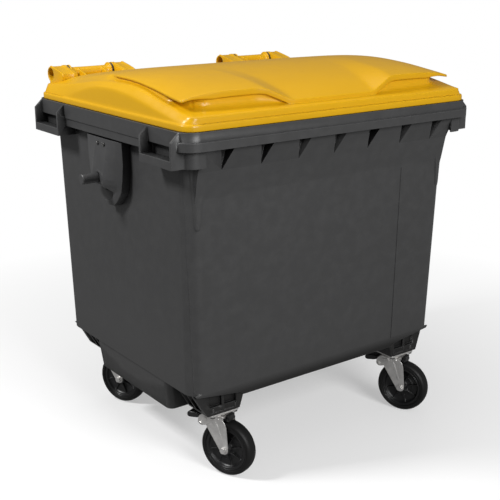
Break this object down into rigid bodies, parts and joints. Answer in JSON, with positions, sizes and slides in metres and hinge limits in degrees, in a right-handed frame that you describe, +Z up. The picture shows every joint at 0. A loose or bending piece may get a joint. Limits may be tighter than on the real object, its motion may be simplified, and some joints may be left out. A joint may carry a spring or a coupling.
{
  "type": "wheelie bin",
  "caption": "Large four-wheeled waste container with a hinged flat lid, front comb rim, side lifting trunnions, grip loops, braked swivel casters and a drain plug.",
  "frame": {"origin": "on the floor, at the centre of the bounding box seen from above", "axes": "+X to the right along the long side and the lid hinge, +Y from the comb rim at the front to the hinge at the back, +Z up"},
  "size_m": [1.394, 1.0579, 1.362],
  "materials": {
    "body_plastic": "fine-grained moulded polyethylene, dark grey",
    "lid_plastic": "fine-grained moulded polyethylene, warm yellow",
    "pin_plastic": "satin black glass-filled plastic",
    "rim_plastic": "satin black moulded plastic",
    "tyre": "solid black rubber",
    "seal_rubber": "matt rubber",
    "zinc": "zinc-plated pressed steel",
    "dark_steel": "blackened steel screw heads"
  },
  "bodies": {
    "bin": {"container_body": "body_plastic", "trunnion_bracket_left": "body_plastic", "trunnion_bracket_right": "body_plastic", "trunnion_pin_left": "pin_plastic", "trunnion_pin_right": "pin_plastic", "trunnion_screws": "dark_steel", "hinge_pin_left": "pin_plastic", "hinge_pin_right": "pin_plastic", "caster_bolts": "zinc", "caster_plate_front_left": "zinc", "kingpin_front_left": "zinc", "swivel_bearing_front_left": "zinc", "caster_plate_front_right": "zinc", "kingpin_front_right": "zinc", "swivel_bearing_front_right": "zinc", "caster_plate_rear_left": "zinc", "kingpin_rear_left": "zinc", "swivel_bearing_rear_left": "zinc", "caster_plate_rear_right": "zinc", "kingpin_rear_right": "zinc", "swivel_bearing_rear_right": "zinc"},
    "lid": {"lid": "lid_plastic"},
    "drain": {"drain_plug": "pin_plastic", "drain_seal": "seal_rubber"},
    "swivel_front_left": {"fork_front_left": "zinc", "axle_front_left": "zinc", "axle_nut_front_left": "zinc", "axle_bush_front_left": "zinc", "pedal_pin_front_left": "zinc"},
    "wheel_front_left": {"wheel_rim_front_left": "rim_plastic", "tyre_front_left": "tyre"},
    "pedal_front_left": {"brake_pedal_front_left": "pin_plastic"},
    "shoe_front_left": {"brake_shoe_front_left": "pin_plastic"},
    "swivel_front_right": {"fork_front_right": "zinc", "axle_front_right": "zinc", "axle_nut_front_right": "zinc", "axle_bush_front_right": "zinc", "pedal_pin_front_right": "zinc"},
    "wheel_front_right": {"wheel_rim_front_right": "rim_plastic", "tyre_front_right": "tyre"},
    "pedal_front_right": {"brake_pedal_front_right": "pin_plastic"},
    "shoe_front_right": {"brake_shoe_front_right": "pin_plastic"},
    "swivel_rear_left": {"fork_rear_left": "zinc", "axle_rear_left": "zinc", "axle_nut_rear_left": "zinc", "axle_bush_rear_left": "zinc"},
    "wheel_rear_left": {"wheel_rim_rear_left": "rim_plastic", "tyre_rear_left": "tyre"},
    "swivel_rear_right": {"fork_rear_right": "zinc", "axle_rear_right": "zinc", "axle_nut_rear_right": "zinc", "axle_bush_rear_right": "zinc"},
    "wheel_rear_right": {"wheel_rim_rear_right": "rim_plastic", "tyre_rear_right": "tyre"}
  },
  "joints": [
    {"name": "lid_hinge", "type": "hinge", "parent": "bin", "child": "lid", "pos_m": [0, 0.5, 1.299], "axis": [-1, 0, 0], "range_deg": [0, 250]},
    {"name": "drain_plug_pull", "type": "slide", "parent": "bin", "child": "drain", "axis": [0, 0, -1], "range_m": [0, 0.05]},
    {"name": "swivel_front_left", "type": "hinge", "parent": "bin", "child": "swivel_front_left", "pos_m": [-0.423, -0.376, 0.22], "axis": [0, 0, 1], "continuous": true},
    {"name": "wheel_front_left_spin", "type": "hinge", "parent": "swivel_front_left", "child": "wheel_front_left", "pos_m": [-0.40379, -0.42216, 0.1], "axis": [0.9232, 0.3843, 0], "continuous": true},
    {"name": "brake_pedal_front_left", "type": "hinge", "parent": "swivel_front_left", "child": "pedal_front_left", "pos_m": [-0.43145, -0.35569, 0.203], "axis": [-0.9232, -0.3843, 0], "range_deg": [0, 14]},
    {"name": "brake_shoe_front_left", "type": "slide", "parent": "swivel_front_left", "child": "shoe_front_left", "axis": [0, 0, -1], "range_m": [0, 0.0026]},
    {"name": "swivel_front_right", "type": "hinge", "parent": "bin", "child": "swivel_front_right", "pos_m": [0.423, -0.376, 0.22], "axis": [0, 0, 1], "continuous": true},
    {"name": "wheel_front_right_spin", "type": "hinge", "parent": "swivel_front_right", "child": "wheel_front_right", "pos_m": [0.44222, -0.42216, 0.1], "axis": [0.9232, 0.3843, 0], "continuous": true},
    {"name": "brake_pedal_front_right", "type": "hinge", "parent": "swivel_front_right", "child": "pedal_front_right", "pos_m": [0.41455, -0.35569, 0.203], "axis": [-0.9232, -0.3843, 0], "range_deg": [0, 14]},
    {"name": "brake_shoe_front_right", "type": "slide", "parent": "swivel_front_right", "child": "shoe_front_right", "axis": [0, 0, -1], "range_m": [0, 0.0026]},
    {"name": "swivel_rear_left", "type": "hinge", "parent": "bin", "child": "swivel_rear_left", "pos_m": [-0.423, 0.351, 0.22], "axis": [0, 0, 1], "continuous": true},
    {"name": "wheel_rear_left_spin", "type": "hinge", "parent": "swivel_rear_left", "child": "wheel_rear_left", "pos_m": [-0.40379, 0.30484, 0.1], "axis": [0.9232, 0.3843, 0], "continuous": true},
    {"name": "swivel_rear_right", "type": "hinge", "parent": "bin", "child": "swivel_rear_right", "pos_m": [0.423, 0.351, 0.22], "axis": [0, 0, 1], "continuous": true},
    {"name": "wheel_rear_right_spin", "type": "hinge", "parent": "swivel_rear_right", "child": "wheel_rear_right", "pos_m": [0.44222, 0.30484, 0.1], "axis": [0.9232, 0.3843, 0], "continuous": true}
  ],
  "couplings": [
    {"joint": "brake_shoe_front_left", "follows": "brake_pedal_front_left", "m_per_rad": 0.01},
    {"joint": "brake_shoe_front_right", "follows": "brake_pedal_front_right", "m_per_rad": 0.01}
  ]
}
